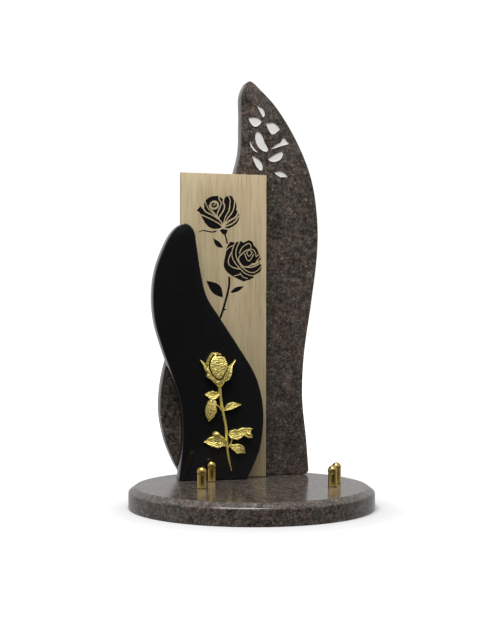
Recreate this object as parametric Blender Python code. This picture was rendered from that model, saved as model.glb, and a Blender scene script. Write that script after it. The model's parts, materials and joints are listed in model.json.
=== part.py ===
"""Granite memorial plaque: three upright slabs on a round base.

A tall S-shaped slab of brown granite stands at the back, a plain oak panel in
front of it and a low S-shaped slab of black granite in front of the panel.
The tall slab has a rose of nine shallow pockets near its top, the black slab
carries a cast rose, and four brass pins stand on the base.

Metres, +Z up, the faces look along -Y.  The origin is the middle of the
underside of the base.
"""

import math

import bmesh
import bpy
from mathutils import Vector
from mathutils.geometry import interpolate_bezier

# Fits
JOINT_GAP = 0.0003

# Round base
BASE_DIAMETER = 0.250
BASE_THICKNESS = 0.022
BASE_BEVEL_WIDTH = 0.007
BASE_BEVEL_DROP = 0.005
BASE_ARRIS = 0.0015
BASE_SIDES = 120

# Tall slab: its outline is given in shares of its height and of its width
TALL_HEIGHT = 0.4204
TALL_WIDTH = 0.1707
TALL_THICKNESS = 0.018
TALL_FOOT_X = 0.011
TALL_FOOT_RADIUS = 0.005
TALL_RIM_MARGIN = 0.0015
TALL_OUTLINE_SHARES = [
    (0.404, 0.000), (0.387, 0.088), (0.360, 0.198), (0.371, 0.309), (0.416, 0.438),
    (0.455, 0.570), (0.452, 0.665), (0.411, 0.761), (0.316, 0.853), (0.184, 0.937),
    (0.069, 0.985), (0.035, 0.997), (0.008, 1.000), (-0.014, 0.989), (-0.037, 0.964),
    (-0.037, 0.903), (-0.050, 0.806), (-0.178, 0.649), (-0.353, 0.459), (-0.509, 0.288),
    (-0.547, 0.183), (-0.519, 0.102), (-0.459, 0.039), (-0.404, 0.000),
]

# Oak panel
PANEL_WIDTH = 0.0917
PANEL_HEIGHT = 0.3215
PANEL_TOP_FALL = 0.0015
PANEL_THICKNESS = 0.009
PANEL_FOOT_X = -0.0159

# Black slab, in shares of its own height and width
BLACK_HEIGHT = 0.267
BLACK_WIDTH = 0.1172
BLACK_THICKNESS = 0.018
BLACK_FOOT_X = -0.0308
BLACK_OUTLINE_SHARES = [
    (0.309, 0.000), (0.370, 0.056), (0.430, 0.127), (0.459, 0.236), (0.439, 0.329),
    (0.373, 0.417), (0.237, 0.515), (0.049, 0.640), (-0.064, 0.720), (-0.118, 0.816),
    (-0.154, 0.917), (-0.181, 0.975), (-0.254, 1.000), (-0.356, 0.973), (-0.450, 0.900),
    (-0.518, 0.812), (-0.541, 0.719), (-0.523, 0.621), (-0.461, 0.524), (-0.371, 0.412),
    (-0.296, 0.307), (-0.275, 0.210), (-0.281, 0.112), (-0.309, 0.000),
]

# Edges of the slabs
SLAB_ARRIS = 0.0008
PANEL_ARRIS = 0.0003
OUTLINE_STEP = 0.0045
EDGE_ANGLE = 30.0

# Rose of pockets in the tall slab, in shares of its own height
POCKET_DEPTH = 0.0012
POCKET_ROSE_HEIGHT = 0.0756
POCKET_ROSE_TOP = 0.0254
POCKET_ROSE_X = 0.0345
POCKET_STEP = 0.0022
# Each petal is a closed curve; a third value of 1 marks a sharp corner
POCKET_PETAL_SHARES = {
    "top": [(-0.179, 0.999, 1), (-0.094, 0.960, 0), (-0.062, 0.905, 0), (-0.074, 0.838, 0),
            (-0.105, 0.870, 0), (-0.140, 0.935, 0)],
    "left": [(-0.295, 0.823, 1), (-0.205, 0.832, 0), (-0.125, 0.802, 0), (-0.115, 0.758, 0),
             (-0.190, 0.700, 0), (-0.258, 0.742, 0)],
    "right": [(-0.045, 0.748, 1), (0.060, 0.764, 0), (0.125, 0.722, 0), (0.160, 0.672, 1),
              (0.095, 0.618, 0), (0.045, 0.600, 0), (-0.005, 0.665, 0)],
    "middle": [(-0.156, 0.632, 0), (-0.105, 0.590, 0), (-0.062, 0.490, 0), (-0.012, 0.386, 0),
               (-0.035, 0.352, 0), (-0.100, 0.372, 0), (-0.160, 0.430, 0),
               (-0.196, 0.530, 0), (-0.190, 0.610, 0)],
    "crescent": [(-0.272, 0.506, 1), (-0.235, 0.430, 0), (-0.152, 0.335, 1),
                 (-0.215, 0.362, 0), (-0.268, 0.440, 0)],
    "stalk": [(0.030, 0.386, 1), (0.098, 0.452, 0), (0.168, 0.492, 0), (0.198, 0.545, 1),
              (0.228, 0.552, 1), (0.293, 0.468, 1), (0.190, 0.440, 0), (0.098, 0.408, 0)],
    "lower right": [(-0.012, 0.250, 1), (0.078, 0.312, 0), (0.190, 0.366, 1),
                    (0.204, 0.318, 0), (0.165, 0.245, 0), (0.072, 0.212, 0),
                    (0.012, 0.226, 0)],
    "lower left": [(-0.243, 0.290, 1), (-0.150, 0.245, 0), (-0.095, 0.170, 0),
                   (-0.104, 0.088, 0), (-0.160, 0.118, 0), (-0.205, 0.195, 0)],
    "leaf": [(0.076, 0.064, 1), (0.160, 0.080, 0), (0.225, 0.060, 0), (0.276, 0.004, 1),
             (0.180, 0.000, 0), (0.120, 0.024, 0)],
}

# Cast rose on the black slab, in shares of its own height from its lower tip
ROSE_HEIGHT = 0.124
ROSE_TIP_X = 0.0202
ROSE_TIP_RISE = 0.0095
ROSE_BACK_SHARE = 0.30
ROSE_STEP = 0.0032
CASTING_ANGLE = 50.0
# (across, up), width and thickness, in shares of the height
ROSE_STEM_SHARES = [
    (-0.008, 0.000, 0.010, 0.008), (-0.030, 0.086, 0.020, 0.020), (-0.047, 0.195, 0.025, 0.024),
    (-0.051, 0.275, 0.025, 0.025), (-0.059, 0.377, 0.026, 0.026), (-0.083, 0.493, 0.027, 0.027),
    (-0.101, 0.595, 0.028, 0.028), (-0.113, 0.703, 0.032, 0.032), (-0.116, 0.750, 0.030, 0.030),
]
ROSE_BLADE_SHARES = {
    "cup": [(-0.114, 0.708, 0.030, 0.034), (-0.119, 0.750, 0.086, 0.046),
            (-0.126, 0.786, 0.144, 0.052), (-0.133, 0.816, 0.176, 0.054),
            (-0.135, 0.850, 0.182, 0.052), (-0.136, 0.893, 0.172, 0.046),
            (-0.135, 0.935, 0.130, 0.036), (-0.138, 0.988, 0.060, 0.026)],
    "core": [(-0.115, 0.780, 0.026, 0.054), (-0.120, 0.800, 0.068, 0.058),
             (-0.126, 0.836, 0.118, 0.060), (-0.128, 0.886, 0.150, 0.061),
             (-0.128, 0.920, 0.138, 0.060), (-0.126, 0.945, 0.114, 0.058),
             (-0.123, 0.967, 0.086, 0.054)],
    "upper_petal": [(-0.228, 0.902, 0.010, 0.036), (-0.191, 0.953, 0.036, 0.052),
                    (-0.172, 0.999, 0.008, 0.044)],
    "top_petal": [(-0.166, 0.992, 0.010, 0.046), (-0.142, 0.985, 0.026, 0.056),
                  (-0.114, 0.977, 0.010, 0.046)],
    "right_petal": [(-0.082, 0.758, 0.018, 0.040), (-0.052, 0.790, 0.046, 0.048),
                    (-0.037, 0.830, 0.052, 0.050), (-0.027, 0.864, 0.036, 0.044),
                    (-0.012, 0.890, 0.017, 0.034), (0.022, 0.935, 0.004, 0.014)],
    "left_sepal": [(-0.220, 0.822, 0.008, 0.026), (-0.232, 0.862, 0.024, 0.030),
                   (-0.242, 0.893, 0.024, 0.028), (-0.258, 0.916, 0.013, 0.022),
                   (-0.278, 0.937, 0.004, 0.012)],
    "leaf_upper_left": [(-0.110, 0.662, 0.010, 0.018), (-0.146, 0.642, 0.060, 0.026),
                        (-0.179, 0.639, 0.072, 0.026), (-0.210, 0.644, 0.044, 0.022),
                        (-0.238, 0.647, 0.006, 0.012)],
    "leaf_hanging": [(-0.166, 0.612, 0.016, 0.018), (-0.174, 0.592, 0.062, 0.028),
                     (-0.186, 0.532, 0.090, 0.034), (-0.195, 0.473, 0.074, 0.028),
                     (-0.206, 0.418, 0.006, 0.012)],
    "stalk_hanging": [(-0.086, 0.490, 0.012, 0.018), (-0.116, 0.538, 0.012, 0.018),
                      (-0.158, 0.574, 0.012, 0.020)],
    "leaf_right": [(-0.076, 0.512, 0.010, 0.018), (-0.031, 0.541, 0.054, 0.026),
                   (0.006, 0.553, 0.050, 0.026), (0.043, 0.556, 0.026, 0.020),
                   (0.072, 0.556, 0.005, 0.012)],
    "leaf_lower_left": [(-0.044, 0.214, 0.016, 0.022), (-0.085, 0.240, 0.078, 0.034),
                        (-0.125, 0.248, 0.112, 0.038), (-0.165, 0.251, 0.098, 0.034),
                        (-0.205, 0.250, 0.058, 0.028), (-0.246, 0.248, 0.006, 0.014)],
    "leaf_fold": [(-0.172, 0.306, 0.010, 0.036), (-0.158, 0.313, 0.034, 0.054),
                  (-0.136, 0.312, 0.040, 0.060), (-0.110, 0.300, 0.012, 0.036)],
    "leaf_curled": [(-0.037, 0.309, 0.014, 0.020), (-0.022, 0.309, 0.058, 0.028),
                    (0.014, 0.306, 0.082, 0.034), (0.048, 0.311, 0.078, 0.034),
                    (0.083, 0.328, 0.062, 0.034), (0.112, 0.325, 0.068, 0.036),
                    (0.140, 0.317, 0.084, 0.036), (0.168, 0.314, 0.060, 0.030)],
    "stalk_curled": [(-0.042, 0.196, 0.012, 0.018), (-0.019, 0.224, 0.012, 0.018),
                     (0.000, 0.290, 0.012, 0.020)],
    "leaf_lower_right": [(-0.030, 0.212, 0.012, 0.018), (0.005, 0.202, 0.048, 0.028),
                         (0.038, 0.192, 0.080, 0.034), (0.074, 0.175, 0.068, 0.030),
                         (0.108, 0.146, 0.006, 0.014)],
}

# Brass pins
PIN_HEIGHT = 0.0212
PIN_HEAD_DIAMETER = 0.0096
PIN_HEAD_HEIGHT = 0.0074
PIN_BODY_DIAMETER = 0.0092
PIN_FOOT_DIAMETER = 0.0096
PIN_FOOT_HEIGHT = 0.0012
PIN_SLAB_CLEARANCE = 0.0030
PIN_SIDES = 20
# Places in shares of the radius of the flat top
PIN_LEFT_FRONT_SHARE = (-0.455, -0.093)
PIN_LEFT_BACK_X_SHARE = -0.292
PIN_RIGHT_FRONT_SHARE = (0.661, -0.220)
PIN_RIGHT_BACK_SHARE = (0.756, -0.012)

# What follows from these
BASE_RADIUS = BASE_DIAMETER / 2
FLAT_RADIUS = BASE_RADIUS - BASE_BEVEL_WIDTH
FOOT_Z = BASE_THICKNESS + JOINT_GAP
TALL_FOOT_REACH = max(abs(TALL_FOOT_X + across * TALL_WIDTH)
                      for across, up in TALL_OUTLINE_SHARES if up == 0.0) - TALL_FOOT_RADIUS
TALL_BACK_Y = math.sqrt(FLAT_RADIUS ** 2 - TALL_FOOT_REACH ** 2) - TALL_RIM_MARGIN
TALL_FRONT_Y = TALL_BACK_Y - TALL_THICKNESS
PANEL_FRONT_Y = TALL_FRONT_Y - JOINT_GAP - PANEL_THICKNESS
BLACK_FRONT_Y = PANEL_FRONT_Y - JOINT_GAP - BLACK_THICKNESS
ROSE_BACK_Y = BLACK_FRONT_Y - JOINT_GAP


def clear_scene():
    for old in list(bpy.data.objects):
        bpy.data.objects.remove(old, do_unlink=True)


def make_material(name, colour, roughness, metallic=0.0):
    """A Principled material of one colour, given as linear red, green and blue."""
    material = bpy.data.materials.new(name)
    material.use_nodes = True
    shader = material.node_tree.nodes["Principled BSDF"]
    shader.inputs["Base Color"].default_value = (*colour, 1.0)
    shader.inputs["Roughness"].default_value = roughness
    shader.inputs["Metallic"].default_value = metallic
    material.diffuse_color = (*colour, 1.0)
    return material


def link_object(name, bm, material, smooth_angle=EDGE_ANGLE):
    """Turn a bmesh into an object whose round faces are shaded smooth."""
    mesh = bpy.data.meshes.new(name)
    bm.to_mesh(mesh)
    bm.free()
    mesh.materials.append(material)
    mesh.shade_smooth()
    mesh.set_sharp_from_angle(angle=math.radians(smooth_angle))
    piece = bpy.data.objects.new(name, mesh)
    bpy.context.scene.collection.objects.link(piece)
    return piece


def spans(knots, corners, closed):
    """Bezier spans through the knots, with a kink at each corner."""
    count = len(knots)
    tangents = []
    for index, knot in enumerate(knots):
        before = knots[index - 1] if closed or index > 0 else knot
        after = knots[(index + 1) % count] if closed or index < count - 1 else knot
        tangents.append((after - before).normalized())
    last = count if closed else count - 1
    for index in range(last):
        start = knots[index]
        end = knots[(index + 1) % count]
        reach = (end - start).length / 3
        straight = (end - start).normalized()
        leave = straight if corners[index] else tangents[index]
        arrive = straight if corners[(index + 1) % count] else tangents[(index + 1) % count]
        yield start, start + leave * reach, end - arrive * reach, end


def smooth_curve(knots, step, corners=None, closed=False):
    """Points about a step apart on a smooth curve through the knots."""
    corners = corners or [False] * len(knots)
    points = []
    for start, leave, arrive, end in spans(knots, corners, closed):
        pieces = max(2, round((end - start).length / step))
        points += interpolate_bezier(start, leave, arrive, end, pieces + 1)[:-1]
    if not closed:
        points.append(knots[-1])
    return [Vector((point.x, point.y)) for point in points]


def rounded_corner(before, corner, after, radius, steps=4):
    """Points of an arc that takes the place of a corner between two straight runs."""
    arm_in = (before - corner).normalized()
    arm_out = (after - corner).normalized()
    half_angle = arm_in.angle(arm_out) / 2
    setback = radius / math.tan(half_angle)
    middle = corner + (arm_in + arm_out).normalized() * (radius / math.sin(half_angle))
    start = corner + arm_in * setback - middle
    turn = math.pi - 2 * half_angle
    if start.cross(corner + arm_out * setback - middle) < 0:
        turn = -turn
    points = []
    for index in range(steps + 1):
        angle = turn * index / steps
        points.append(middle + Vector((
            start.x * math.cos(angle) - start.y * math.sin(angle),
            start.x * math.sin(angle) + start.y * math.cos(angle))))
    return points


def slab_outline(shares, foot_x, width, height, corner_radius=0.0):
    """The closed outline of a slab, from its right foot over the top to its left foot."""
    knots = [Vector((foot_x + across * width, FOOT_Z + up * height)) for across, up in shares]
    points = smooth_curve(knots, OUTLINE_STEP)
    if corner_radius:
        def outside(point, corner):
            return (point - corner).length > 2 * corner_radius
        right, left = points[0], points[-1]
        middle = [point for point in points if outside(point, right) and outside(point, left)]
        right_arc = rounded_corner(left, right, middle[0], corner_radius)
        left_arc = rounded_corner(middle[-1], left, right, corner_radius)
        points = right_arc + middle + left_arc
    return points


def front_edges(bm, front_y):
    """The edges that run round the front face of a slab."""
    tolerance = JOINT_GAP / 10
    return [edge for edge in bm.edges
            if all(abs(vert.co.y - front_y) < tolerance for vert in edge.verts)]


def slab_mesh(outline, front_y, thickness, arris):
    """A flat slab with a small arris ground along its front edge."""
    bm = bmesh.new()
    face = bm.faces.new([bm.verts.new((point.x, front_y, point.y)) for point in outline])
    swept = bmesh.ops.extrude_face_region(bm, geom=[face], use_keep_orig=True)
    moved = [item for item in swept["geom"] if isinstance(item, bmesh.types.BMVert)]
    bmesh.ops.translate(bm, verts=moved, vec=(0.0, thickness, 0.0))
    bmesh.ops.recalc_face_normals(bm, faces=bm.faces)
    bmesh.ops.bevel(bm, geom=front_edges(bm, front_y), offset=arris, segments=1,
                    profile=0.5, affect="EDGES", material=-1)
    return bm


def turned_mesh(profile, sides, centre_x=0.0, centre_y=0.0):
    """A closed round body from a profile of (radius, height) that starts and ends on the axis."""
    bm = bmesh.new()
    verts = [bm.verts.new((centre_x + radius, centre_y, height)) for radius, height in profile]
    edges = [bm.edges.new(pair) for pair in zip(verts, verts[1:])]
    bmesh.ops.spin(bm, geom=verts + edges, cent=(centre_x, centre_y, 0.0), axis=(0.0, 0.0, 1.0),
                   angle=math.tau, steps=sides, use_merge=True)
    bmesh.ops.remove_doubles(bm, verts=bm.verts, dist=1e-6)
    bmesh.ops.recalc_face_normals(bm, faces=bm.faces)
    return bm


def base_disc(material):
    bevel_z = BASE_THICKNESS - BASE_BEVEL_DROP
    slope = Vector((-BASE_BEVEL_WIDTH, BASE_BEVEL_DROP)).normalized()
    profile = [
        (0.0, 0.0),
        (BASE_RADIUS - BASE_ARRIS / 2, 0.0),
        (BASE_RADIUS, BASE_ARRIS / 2),
        (BASE_RADIUS, bevel_z - BASE_ARRIS),
        (BASE_RADIUS - BASE_ARRIS * 0.15, bevel_z - BASE_ARRIS * 0.35),
        (BASE_RADIUS + slope.x * BASE_ARRIS, bevel_z + slope.y * BASE_ARRIS),
        (FLAT_RADIUS, BASE_THICKNESS),
        (0.0, BASE_THICKNESS),
    ]
    return link_object("base_disc", turned_mesh(profile, BASE_SIDES), material)


def pocket_cutters(slab_front_y):
    """One mesh of nine closed prisms, the petals and leaves of the pocket rose."""
    bm = bmesh.new()
    top_z = FOOT_Z + TALL_HEIGHT - POCKET_ROSE_TOP
    foot_z = top_z - POCKET_ROSE_HEIGHT
    for petal in POCKET_PETAL_SHARES.values():
        knots = [Vector((POCKET_ROSE_X + across * POCKET_ROSE_HEIGHT,
                         foot_z + up * POCKET_ROSE_HEIGHT)) for across, up, _ in petal]
        corners = [bool(sharp) for _, _, sharp in petal]
        outline = smooth_curve(knots, POCKET_STEP, corners, closed=True)
        front = slab_front_y - POCKET_DEPTH
        face = bm.faces.new([bm.verts.new((point.x, front, point.y)) for point in outline])
        swept = bmesh.ops.extrude_face_region(bm, geom=[face], use_keep_orig=True)
        moved = [item for item in swept["geom"] if isinstance(item, bmesh.types.BMVert)]
        bmesh.ops.translate(bm, verts=moved, vec=(0.0, 2 * POCKET_DEPTH, 0.0))
    bmesh.ops.recalc_face_normals(bm, faces=bm.faces)
    return bm


def add_boolean(piece, other, operation):
    """Join the other object to the piece or cut it out, and keep the other as a guide."""
    other.hide_render = True
    other.display_type = "WIRE"
    change = piece.modifiers.new(other.name, "BOOLEAN")
    change.operation = operation
    change.solver = "EXACT"
    change.material_mode = "TRANSFER"
    change.object = other


def settle_shape(piece, smooth_angle):
    """Apply the piece's modifiers and mark the sharp edges that they made."""
    evaluated = piece.evaluated_get(bpy.context.evaluated_depsgraph_get())
    mesh = bpy.data.meshes.new_from_object(evaluated)
    piece.modifiers.clear()
    piece.data = mesh
    mesh.shade_smooth()
    mesh.set_sharp_from_angle(angle=math.radians(smooth_angle))


def tall_slab(material, pocket_material):
    outline = slab_outline(TALL_OUTLINE_SHARES, TALL_FOOT_X, TALL_WIDTH, TALL_HEIGHT, TALL_FOOT_RADIUS)
    slab = link_object("tall_slab", slab_mesh(outline, TALL_FRONT_Y, TALL_THICKNESS, SLAB_ARRIS),
                       material)
    cutter = link_object("pocket_cutters", pocket_cutters(TALL_FRONT_Y), pocket_material)
    add_boolean(slab, cutter, "DIFFERENCE")
    settle_shape(slab, EDGE_ANGLE)
    return slab


def oak_panel(material):
    left = PANEL_FOOT_X - PANEL_WIDTH / 2
    right = PANEL_FOOT_X + PANEL_WIDTH / 2
    top = FOOT_Z + PANEL_HEIGHT
    outline = [Vector((right, FOOT_Z)), Vector((right, top - PANEL_TOP_FALL)),
               Vector((left, top)), Vector((left, FOOT_Z))]
    return link_object("oak_panel",
                       slab_mesh(outline, PANEL_FRONT_Y, PANEL_THICKNESS, PANEL_ARRIS), material)


def black_slab(material):
    outline = slab_outline(BLACK_OUTLINE_SHARES, BLACK_FOOT_X, BLACK_WIDTH, BLACK_HEIGHT)
    return link_object("black_slab",
                       slab_mesh(outline, BLACK_FRONT_Y, BLACK_THICKNESS, SLAB_ARRIS), material)


def rose_place(across, up):
    """A point of the cast rose on the face of the black slab, as (x, z)."""
    return Vector((BLACK_FOOT_X + ROSE_TIP_X + across * ROSE_HEIGHT,
                   FOOT_Z + ROSE_TIP_RISE + up * ROSE_HEIGHT))


def blade_mesh(stations, back_y, ribs=8):
    """A closed cast blade: flat behind, crowned in front, along a curved middle line."""
    line = [rose_place(across, up) for across, up, _, _ in stations]
    sizes = [Vector((width * ROSE_HEIGHT, rise * ROSE_HEIGHT)) for _, _, width, rise in stations]
    centres = []
    shapes = []
    last = len(line) - 1
    for index, span in enumerate(spans(line, [False] * len(line), False)):
        slope_in = (sizes[index + 1] - sizes[max(index - 1, 0)]) / 2
        slope_out = (sizes[min(index + 2, last)] - sizes[index]) / 2
        size_span = (sizes[index], sizes[index] + slope_in / 3,
                     sizes[index + 1] - slope_out / 3, sizes[index + 1])
        pieces = max(2, round((span[3] - span[0]).length / ROSE_STEP))
        end = pieces + (index == last - 1)
        centres += [point.xy for point in interpolate_bezier(*span, pieces + 1)[:end]]
        shapes += [size.xy for size in interpolate_bezier(*size_span, pieces + 1)[:end]]
    bm = bmesh.new()
    rings = []
    for index, (centre, shape) in enumerate(zip(centres, shapes)):
        ahead = centres[min(index + 1, len(centres) - 1)]
        behind = centres[max(index - 1, 0)]
        run = (ahead - behind).normalized()
        side = Vector((run.y, -run.x))
        ring = []
        for rib in range(ribs):
            angle = math.pi * rib / (ribs - 1)
            reach = -math.cos(angle) * shape.x / 2
            rise = shape.y * (ROSE_BACK_SHARE + (1 - ROSE_BACK_SHARE) * math.sin(angle))
            place = centre + side * reach
            ring.append(bm.verts.new((place.x, back_y - rise, place.y)))
        for sign in (1, -1):
            place = centre + side * (sign * shape.x / 2)
            ring.append(bm.verts.new((place.x, back_y, place.y)))
        rings.append(ring)
    for first, second in zip(rings, rings[1:]):
        for index in range(len(first)):
            following = (index + 1) % len(first)
            bm.faces.new((first[index], first[following], second[following], second[index]))
    bm.faces.new(rings[0])
    bm.faces.new(list(reversed(rings[-1])))
    bmesh.ops.recalc_face_normals(bm, faces=bm.faces)
    return bm


def cast_rose(material):
    """The stem with every petal and leaf joined to it as one casting."""
    rose = link_object("cast_rose", blade_mesh(ROSE_STEM_SHARES, ROSE_BACK_Y), material)
    for name, stations in ROSE_BLADE_SHARES.items():
        blade = link_object("casting_" + name, blade_mesh(stations, ROSE_BACK_Y), material)
        add_boolean(rose, blade, "UNION")
    settle_shape(rose, CASTING_ANGLE)
    return rose


def pin_profile():
    """A pin on the base: small foot flange, straight body and a domed head."""
    foot = PIN_FOOT_DIAMETER / 2
    body = PIN_BODY_DIAMETER / 2
    head = PIN_HEAD_DIAMETER / 2
    neck = PIN_HEIGHT - PIN_HEAD_HEIGHT
    profile = [(0.0, 0.0), (foot, 0.0), (foot, PIN_FOOT_HEIGHT * 0.7), (body, PIN_FOOT_HEIGHT),
               (body, neck), (head, neck + (head - body))]
    dome_z = PIN_HEIGHT - head
    steps = 5
    for index in range(steps):
        angle = math.pi / 2 * index / steps
        profile.append((head * math.cos(angle), dome_z + head * math.sin(angle)))
    profile.append((0.0, PIN_HEIGHT))
    return [(radius, FOOT_Z + height) for radius, height in profile]


def pins(material):
    left_back_y = BLACK_FRONT_Y - PIN_SLAB_CLEARANCE - PIN_HEAD_DIAMETER / 2
    places = {
        "pin_left_front": Vector(PIN_LEFT_FRONT_SHARE) * FLAT_RADIUS,
        "pin_left_back": Vector((PIN_LEFT_BACK_X_SHARE * FLAT_RADIUS, left_back_y)),
        "pin_right_front": Vector(PIN_RIGHT_FRONT_SHARE) * FLAT_RADIUS,
        "pin_right_back": Vector(PIN_RIGHT_BACK_SHARE) * FLAT_RADIUS,
    }
    for name, place in places.items():
        link_object(name, turned_mesh(pin_profile(), PIN_SIDES, place.x, place.y), material)


def main():
    clear_scene()
    brown_granite = make_material("polished brown granite", (0.070, 0.055, 0.047), 0.25)
    black_granite = make_material("polished black granite", (0.007, 0.007, 0.008), 0.15)
    oak = make_material("matt oak", (0.480, 0.380, 0.240), 0.60)
    white_paint = make_material("white paint", (0.740, 0.730, 0.700), 0.50)
    gilding = make_material("gilt casting", (0.560, 0.430, 0.110), 0.35, 1.0)
    brass = make_material("polished brass", (0.520, 0.400, 0.140), 0.22, 1.0)
    base_disc(brown_granite)
    tall_slab(brown_granite, white_paint)
    oak_panel(oak)
    black_slab(black_granite)
    cast_rose(gilding)
    pins(brass)


main()
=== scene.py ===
"""Looks of the granite memorial plaque.

Polished granite slabs, an oak panel with black roses, a gilt cast rose and brass pins
stand on a round granite base.  The outlines of the slabs and the places of all pieces
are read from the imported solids, and each piece here is the finer form of one of them.

Metres, +Z up, the decorated faces look along -Y.
"""

import json
import math

import bmesh
import bpy
from mathutils import Euler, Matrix, Quaternion, Vector, noise
from mathutils.geometry import interpolate_bezier

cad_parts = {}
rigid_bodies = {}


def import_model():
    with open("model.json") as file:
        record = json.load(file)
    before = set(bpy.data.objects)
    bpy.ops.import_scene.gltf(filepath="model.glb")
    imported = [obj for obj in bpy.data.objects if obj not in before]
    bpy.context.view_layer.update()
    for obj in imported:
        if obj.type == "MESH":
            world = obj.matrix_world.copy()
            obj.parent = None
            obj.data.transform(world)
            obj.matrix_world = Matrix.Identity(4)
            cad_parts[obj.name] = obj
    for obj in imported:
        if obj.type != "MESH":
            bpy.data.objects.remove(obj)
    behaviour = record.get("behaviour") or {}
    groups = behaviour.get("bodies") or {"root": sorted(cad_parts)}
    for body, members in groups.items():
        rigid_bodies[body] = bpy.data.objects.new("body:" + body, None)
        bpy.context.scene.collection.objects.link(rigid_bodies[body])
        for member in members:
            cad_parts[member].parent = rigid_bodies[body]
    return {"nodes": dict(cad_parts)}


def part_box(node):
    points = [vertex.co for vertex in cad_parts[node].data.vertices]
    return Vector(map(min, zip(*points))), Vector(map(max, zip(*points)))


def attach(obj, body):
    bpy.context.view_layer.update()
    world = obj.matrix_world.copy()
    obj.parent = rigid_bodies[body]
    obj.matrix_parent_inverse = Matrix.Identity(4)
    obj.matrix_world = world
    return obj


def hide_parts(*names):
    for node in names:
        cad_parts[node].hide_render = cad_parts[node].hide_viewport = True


MM = 0.001

# Ground edges of the stone and wood, and the paint's share of the depth of the pockets
BASE_BEVEL_WIDTH = 7.0 * MM
BASE_BEVEL_DROP = 5.0 * MM
BASE_ARRIS = 1.5 * MM
BASE_SIDES = 288
SLAB_ARRIS = 0.8 * MM
BLACK_ARRIS = 1.2 * MM
PANEL_ARRIS = 0.4 * MM
OUTLINE_STEP = 1.2 * MM
POCKET_STEP = 0.7 * MM
POCKET_PAINT_SHARE = 0.5
CORNER_ANGLE = math.radians(38)
EDGE_ANGLE = math.radians(32)

# Measures under which depths are one depth and points are one point
FLAT_TOLERANCE = 0.02 * MM
WELD_DISTANCE = 0.001 * MM
SAME_POINT = 0.0001 * MM

# Pins
PIN_BODY_DIAMETER = 9.2 * MM
PIN_NECK_DIAMETER = 8.8 * MM
PIN_NECK_HEIGHT = 0.5 * MM
PIN_HEAD_HEIGHT = 7.4 * MM
PIN_FOOT_HEIGHT = 1.2 * MM
PIN_EDGE_SHARE = 0.97
PIN_SIDES = 64
PIN_DOME_STEPS = 12

# Depth of the engraving in the oak panel
ENGRAVING_DEPTH = 0.3 * MM

# Roses on the oak panel, in millimetres: knots of their outlines, across and up
ROSE_CURVE_STEP = 0.6
BUD_FOOT = (-16.6, 283.3)
BUD_OUTLINE = [
    (-1.1, 4.1), (-3.8, 2.4), (-9.2, 1.6), (-14.6, 2.8), (-19.1, 6.8), (-22.1, 11.3),
    (-23.9, 15.2), (-25.5, 18.3), (-29.0, 20.7), (-26.9, 22.8), (-24.6, 25.4), (-23.0, 22.5),
    (-20.7, 24.0), (-21.2, 28.1), (-18.7, 32.2), (-14.6, 35.0), (-9.8, 36.2), (-5.2, 36.2),
    (-1.5, 33.6), (0.4, 33.4), (2.8, 35.8), (6.3, 36.9), (9.7, 35.7), (11.4, 31.7), (12.9, 30.7),
    (14.0, 26.5), (13.7, 21.8), (16.2, 18.5), (17.0, 13.4), (14.7, 8.3), (10.6, 4.7),
    (5.4, 2.1), (1.1, 3.3),
]
# Bare lines between the petals: width, then places across and up
BUD_GAPS = [
    (1.1, [(-26.4, 17.2), (-15.7, 12.8), (-7.7, 8.8), (-1.6, 4.9)]),
    (1.2, [(-23.2, 25.8), (-19.2, 19.6), (-11.4, 15.6), (-3.8, 10.6), (-0.8, 5.6)]),
    (1.0, [(-20.6, 33.4), (-18.7, 27.0), (-15.3, 21.6), (-9.4, 16.2), (-3.8, 10.6)]),
    (1.1, [(-15.6, 26.4), (-14.0, 22.8), (-10.2, 18.6), (-6.8, 13.6)]),
    (1.2, [(-5.2, 37.4), (-4.7, 32.9), (-2.6, 28.4), (-4.3, 23.4), (-6.5, 18.4), (-7.3, 12.4)]),
    (1.4, [(0.4, 34.8), (-0.4, 30.0), (1.1, 25.6), (-0.8, 20.0), (-5.6, 12.9)]),
    (1.0, [(4.2, 37.4), (6.9, 33.1), (6.7, 27.5), (5.6, 21.5)]),
    (1.2, [(12.2, 32.6), (11.2, 24.7), (9.1, 19.1), (4.6, 13.0), (0.3, 6.0)]),
    (1.1, [(6.7, 27.5), (6.1, 21.7), (2.0, 14.3), (-0.4, 5.2)]),
    (1.7, [(16.4, 21.2), (13.0, 14.4), (7.8, 11.2), (0.5, 6.0)]),
    (1.4, [(16.4, 15.6), (12.5, 9.8), (6.9, 6.2), (0.5, 4.3)]),
    (1.9, [(-14.6, 25.8), (-13.0, 29.2), (-9.4, 30.4), (-6.6, 28.7), (-6.0, 25.6)]),
    (1.9, [(-14.7, 27.2), (-12.6, 23.6), (-9.2, 23.0), (-6.3, 25.0), (-5.9, 27.2)]),
    (0.9, [(-9.0, 29.6), (-9.4, 27.0), (-11.6, 26.4)]),
    (2.4, [(-2.6, 5.0), (2.2, 4.8)]),
]
BUD_SEPAL = [
    (-28.0, -2.4), (-25.0, -0.6), (-21.6, 0.3), (-17.8, -0.2), (-12.4, -1.0), (-9.0, -0.4),
    (-6.6, -0.2), (-9.0, -1.9), (-12.6, -2.4), (-17.8, -1.6), (-21.8, -0.9), (-24.8, -1.5),
]
BUD_CALYX = [
    (-4.3, 0.1), (-2.3, 1.2), (-0.2, 1.5), (2.4, 1.2), (4.4, 0.5), (3.5, -2.4), (2.9, -3.8),
    (1.1, -4.7), (-0.4, -4.1), (-2.3, -2.2),
]
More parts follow.
